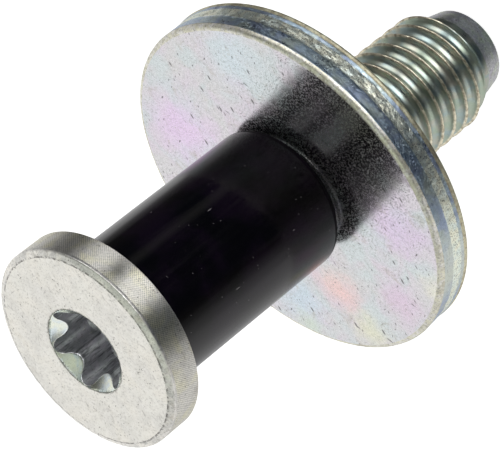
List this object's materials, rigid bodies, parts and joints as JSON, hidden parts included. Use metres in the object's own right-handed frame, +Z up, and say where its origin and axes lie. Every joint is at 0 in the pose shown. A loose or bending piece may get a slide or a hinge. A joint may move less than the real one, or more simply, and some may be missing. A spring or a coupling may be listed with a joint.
{
  "type": "striker bolt",
  "caption": "Shoulder bolt with a flat round head and six-lobe recess, a black sleeve that turns on the shoulder, a thick loose washer and a threaded stud.",
  "frame": {"origin": "middle of the flat end of the stud, on which the bolt stands", "axes": "+Z up the bolt's axis, from the stud's end to the head; +X and +Y across it, with the picture taken from the -Y side"},
  "size_m": [0.0382, 0.0382, 0.0575],
  "materials": {
    "bolt_zinc": "forged and rolled steel, clear zinc plated, satin, with fine specks and worn edges",
    "sleeve_black": "gloss black moulded plastic, faintly purple, with fine lengthwise streaks and small scratches",
    "washer_zinc": "stamped steel, iridescent zinc passivation with pink, blue and yellow clouds, scuffed"
  },
  "bodies": {
    "bolt": {"bolt": "bolt_zinc"},
    "sleeve": {"sleeve": "sleeve_black"},
    "washer": {"washer": "washer_zinc"}
  },
  "joints": [
    {"name": "sleeve_spin", "type": "hinge", "parent": "bolt", "child": "sleeve", "pos_m": [0, 0, 0.04166], "axis": [0, 0, 1], "continuous": true},
    {"name": "washer_spin", "type": "hinge", "parent": "bolt", "child": "washer", "pos_m": [0, 0, 0.02868], "axis": [-0.048, 0.0685, 0.9965], "continuous": true}
  ]
}
